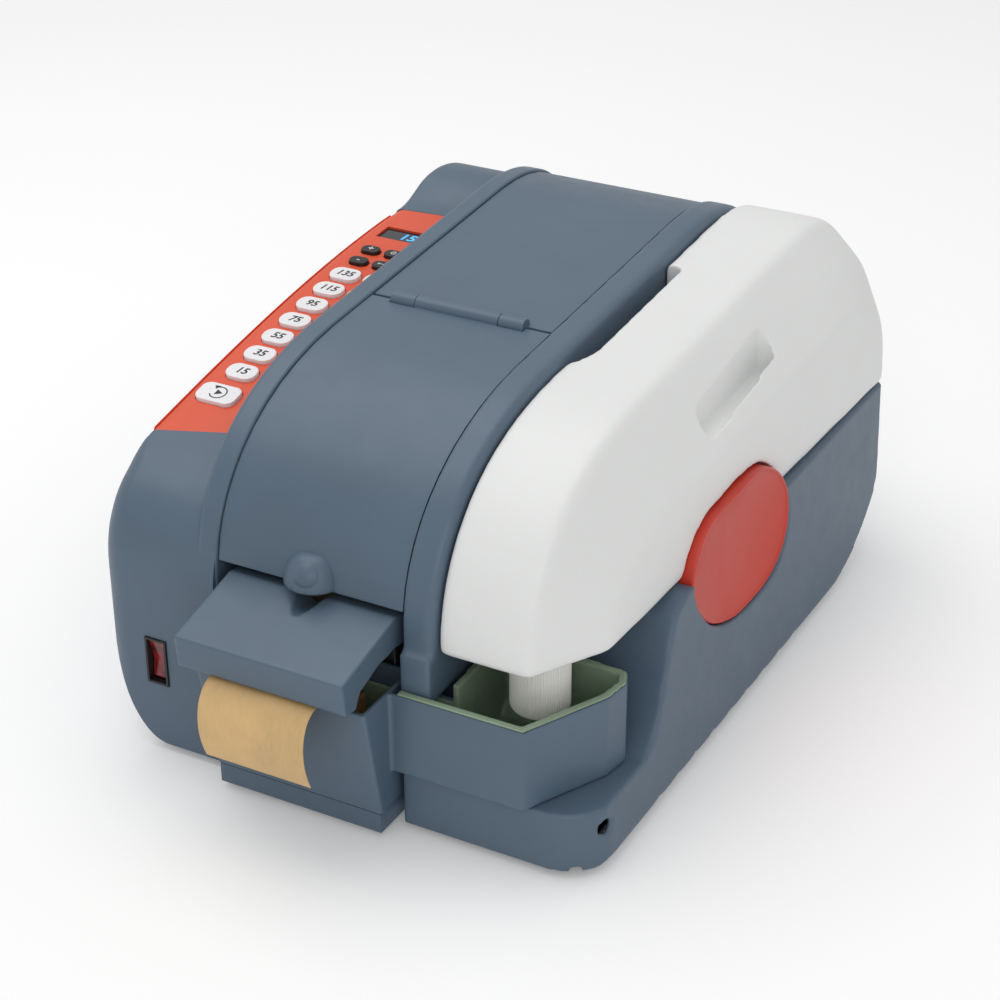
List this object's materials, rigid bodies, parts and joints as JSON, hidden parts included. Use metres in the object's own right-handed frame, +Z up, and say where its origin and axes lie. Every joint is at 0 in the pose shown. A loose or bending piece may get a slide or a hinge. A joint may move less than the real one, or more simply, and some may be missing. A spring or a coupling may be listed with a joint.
{
  "type": "gummed tape dispenser",
  "caption": "Electric counter dispenser that feeds, cuts and wets gummed kraft tape, with a key panel, hinged covers, a press hood, a brush tank and a lift-off water bottle.",
  "frame": {"origin": "centre of the bounding box at the underside of the rubber feet", "axes": "+X to the bottle side, +Y from the tape mouth to the rear, +Z up"},
  "size_m": [0.284, 0.4468, 0.2169],
  "materials": {
    "body_grey": "fine satin moulded ABS",
    "panel_orange": "satin moulded plastic",
    "key_white": "satin with printed numerals",
    "key_black": "satin",
    "display_glass": "glossy tinted window",
    "board_green": "solder-masked board",
    "bottle_white": "blow-moulded polyethylene",
    "cap_white": "ribbed polypropylene",
    "valve_grey": "moulded",
    "dish_red": "satin",
    "tray_green": "translucent polypropylene",
    "brush_wood": "sanded block with bristles",
    "tape_kraft": "kraft paper",
    "core_card": "wound cardboard",
    "steel_sheet": "zinc plated",
    "steel_ground": "ground",
    "gear_nylon": "moulded nylon",
    "roller_rubber": "ground rubber",
    "foot_rubber": "moulded rubber",
    "switch_black": "moulded",
    "rocker_red": "dark red translucent"
  },
  "bodies": {
    "root": {"left_casing": "body_grey", "right_casing": "body_grey", "base_pan": "body_grey", "rubber_feet": "foot_rubber", "left_side_plate": "steel_sheet", "right_side_plate": "steel_sheet", "rear_hinge_pin": "steel_ground", "control_panel": "panel_orange", "display_window": "display_glass", "control_board": "board_green", "switch_housing": "switch_black", "power_inlet": "switch_black", "side_dish": "dish_red", "tape_web": "tape_kraft", "cut_strip": "tape_kraft", "drive_motor": "steel_sheet", "cutter_solenoid": "steel_sheet", "fixed_blade": "steel_ground", "tape_guide": "steel_sheet"},
    "rear_cover": {"rear_cover": "body_grey", "cover_hinge_pin": "steel_ground"},
    "front_cover": {"front_cover": "body_grey"},
    "press_hood": {"press_hood": "body_grey", "press_plate": "steel_sheet"},
    "key_start": {"key_start": "key_white"},
    "key_15": {"key_15": "key_white"},
    "key_35": {"key_35": "key_white"},
    "key_55": {"key_55": "key_white"},
    "key_75": {"key_75": "key_white"},
    "key_95": {"key_95": "key_white"},
    "key_115": {"key_115": "key_white"},
    "key_135": {"key_135": "key_white"},
    "key_25": {"key_25": "key_white"},
    "key_45": {"key_45": "key_white"},
    "key_65": {"key_65": "key_white"},
    "key_85": {"key_85": "key_white"},
    "key_105": {"key_105": "key_white"},
    "key_125": {"key_125": "key_white"},
    "key_145": {"key_145": "key_white"},
    "key_minus": {"key_minus": "key_black"},
    "key_plus": {"key_plus": "key_black"},
    "key_enter": {"key_enter": "key_black"},
    "key_set": {"key_set": "key_black"},
    "switch_rocker": {"switch_rocker": "rocker_red"},
    "bottle": {"bottle": "bottle_white"},
    "bottle_cap": {"bottle_cap": "cap_white"},
    "valve_plunger": {"valve_plunger": "valve_grey"},
    "tank": {"tank_housing": "body_grey", "water_tray": "tray_green", "tank_brushes": "brush_wood"},
    "tape_roll": {"tape_roll": "tape_kraft", "roll_core": "core_card"},
    "feed_roller": {"feed_roller": "roller_rubber", "feed_shaft": "steel_ground", "drive_gear": "gear_nylon"},
    "pinch_roller": {"pinch_roller": "roller_rubber"},
    "motor_pinion": {"motor_pinion": "steel_ground"},
    "cutter_blade": {"cutter_blade": "steel_ground"},
    "side_guide_left": {"side_guide_left": "gear_nylon"},
    "side_guide_right": {"side_guide_right": "gear_nylon"}
  },
  "joints": [
    {"name": "rear_cover_hinge", "type": "hinge", "parent": "root", "child": "rear_cover", "pos_m": [-0.016, 0.21291, 0.1535], "axis": [-1, 0, 0], "range_deg": [0, 95]},
    {"name": "front_cover_hinge", "type": "hinge", "parent": "rear_cover", "child": "front_cover", "pos_m": [-0.016, -0.01459, 0.2058], "axis": [-1, 0, 0], "range_deg": [0, 110]},
    {"name": "press_hood_hinge", "type": "hinge", "parent": "root", "child": "press_hood", "pos_m": [-0.016, -0.13559, 0.103], "axis": [-1, 0, 0], "range_deg": [0, 8.5]},
    {"name": "key_start_press", "type": "slide", "parent": "root", "child": "key_start", "axis": [0, 0.191, -0.9816], "range_m": [0, 0.0015], "stiffness_N_per_m": 300, "springref_m": -0.0006},
    {"name": "key_15_press", "type": "slide", "parent": "root", "child": "key_15", "axis": [0, 0.1809, -0.9835], "range_m": [0, 0.0015], "stiffness_N_per_m": 300, "springref_m": -0.0006},
    {"name": "key_35_press", "type": "slide", "parent": "root", "child": "key_35", "axis": [0, 0.1735, -0.9848], "range_m": [0, 0.0015], "stiffness_N_per_m": 300, "springref_m": -0.0006},
    {"name": "key_55_press", "type": "slide", "parent": "root", "child": "key_55", "axis": [0, 0.1652, -0.9863], "range_m": [0, 0.0015], "stiffness_N_per_m": 300, "springref_m": -0.0006},
    {"name": "key_75_press", "type": "slide", "parent": "root", "child": "key_75", "axis": [0, 0.1522, -0.9884], "range_m": [0, 0.0015], "stiffness_N_per_m": 300, "springref_m": -0.0006},
    {"name": "key_95_press", "type": "slide", "parent": "root", "child": "key_95", "axis": [0, 0.1377, -0.9905], "range_m": [0, 0.0015], "stiffness_N_per_m": 300, "springref_m": -0.0006},
    {"name": "key_115_press", "type": "slide", "parent": "root", "child": "key_115", "axis": [0, 0.1229, -0.9924], "range_m": [0, 0.0015], "stiffness_N_per_m": 300, "springref_m": -0.0006},
    {"name": "key_135_press", "type": "slide", "parent": "root", "child": "key_135", "axis": [0, 0.1098, -0.994], "range_m": [0, 0.0015], "stiffness_N_per_m": 300, "springref_m": -0.0006},
    {"name": "key_25_press", "type": "slide", "parent": "root", "child": "key_25", "axis": [0, 0.1809, -0.9835], "range_m": [0, 0.0015], "stiffness_N_per_m": 300, "springref_m": -0.0006},
    {"name": "key_45_press", "type": "slide", "parent": "root", "child": "key_45", "axis": [0, 0.1735, -0.9848], "range_m": [0, 0.0015], "stiffness_N_per_m": 300, "springref_m": -0.0006},
    {"name": "key_65_press", "type": "slide", "parent": "root", "child": "key_65", "axis": [0, 0.1652, -0.9863], "range_m": [0, 0.0015], "stiffness_N_per_m": 300, "springref_m": -0.0006},
    {"name": "key_85_press", "type": "slide", "parent": "root", "child": "key_85", "axis": [0, 0.1522, -0.9884], "range_m": [0, 0.0015], "stiffness_N_per_m": 300, "springref_m": -0.0006},
    {"name": "key_105_press", "type": "slide", "parent": "root", "child": "key_105", "axis": [0, 0.1377, -0.9905], "range_m": [0, 0.0015], "stiffness_N_per_m": 300, "springref_m": -0.0006},
    {"name": "key_125_press", "type": "slide", "parent": "root", "child": "key_125", "axis": [0, 0.1229, -0.9924], "range_m": [0, 0.0015], "stiffness_N_per_m": 300, "springref_m": -0.0006},
    {"name": "key_145_press", "type": "slide", "parent": "root", "child": "key_145", "axis": [0, 0.1098, -0.994], "range_m": [0, 0.0015], "stiffness_N_per_m": 300, "springref_m": -0.0006},
    {"name": "key_minus_press", "type": "slide", "parent": "root", "child": "key_minus", "axis": [0, 0.0956, -0.9954], "range_m": [0, 0.0015], "stiffness_N_per_m": 300, "springref_m": -0.0006},
    {"name": "key_plus_press", "type": "slide", "parent": "root", "child": "key_plus", "axis": [0, 0.0802, -0.9968], "range_m": [0, 0.0015], "stiffness_N_per_m": 300, "springref_m": -0.0006},
    {"name": "key_enter_press", "type": "slide", "parent": "root", "child": "key_enter", "axis": [0, 0.0956, -0.9954], "range_m": [0, 0.0015], "stiffness_N_per_m": 300, "springref_m": -0.0006},
    {"name": "key_set_press", "type": "slide", "parent": "root", "child": "key_set", "axis": [0, 0.0802, -0.9968], "range_m": [0, 0.0015], "stiffness_N_per_m": 300, "springref_m": -0.0006},
    {"name": "power_switch_rocker", "type": "hinge", "parent": "root", "child": "switch_rocker", "pos_m": [-0.1082, -0.16559, 0.0543], "axis": [-1, 0, 0], "range_deg": [0, 14]},
    {"name": "bottle_lift", "type": "slide", "parent": "root", "child": "bottle", "axis": [0, 0, 1], "range_m": [0, 0.15]},
    {"name": "bottle_cap_turn", "type": "hinge", "parent": "bottle", "child": "bottle_cap", "pos_m": [0.094, -0.13559, 0.084], "axis": [0, 0, 1], "range_deg": [0, 360]},
    {"name": "valve_plunger_push", "type": "slide", "parent": "bottle_cap", "child": "valve_plunger", "axis": [0, 0, 1], "range_m": [0, 0.002], "stiffness_N_per_m": 200, "springref_m": -0.001},
    {"name": "tank_slide", "type": "slide", "parent": "root", "child": "tank", "axis": [0, -1, 0], "range_m": [0, 0.008]},
    {"name": "roll_spin", "type": "hinge", "parent": "root", "child": "tape_roll", "pos_m": [-0.016, 0.09642, 0.115], "axis": [1, 0, 0], "continuous": true},
    {"name": "feed_spin", "type": "hinge", "parent": "root", "child": "feed_roller", "pos_m": [-0.016, -0.08558, 0.0835], "axis": [1, 0, 0], "continuous": true},
    {"name": "pinch_spin", "type": "hinge", "parent": "root", "child": "pinch_roller", "pos_m": [-0.016, -0.08558, 0.1068], "axis": [1, 0, 0], "continuous": true},
    {"name": "motor_spin", "type": "hinge", "parent": "root", "child": "motor_pinion", "pos_m": [-0.089, -0.05118, 0.05941], "axis": [1, 0, 0], "continuous": true},
    {"name": "cutter_stroke", "type": "slide", "parent": "root", "child": "cutter_blade", "axis": [0, 0, -1], "range_m": [0, 0.007], "stiffness_N_per_m": 200, "springref_m": -0.005},
    {"name": "side_guide_left_slide", "type": "slide", "parent": "root", "child": "side_guide_left", "axis": [-1, 0, 0], "range_m": [0, 0.011]},
    {"name": "side_guide_right_slide", "type": "slide", "parent": "root", "child": "side_guide_right", "axis": [1, 0, 0], "range_m": [0, 0.011]}
  ],
  "couplings": [
    {"joint": "pinch_spin", "follows": "feed_spin", "ratio": -1.3333},
    {"joint": "motor_spin", "follows": "feed_spin", "ratio": -3}
  ]
}
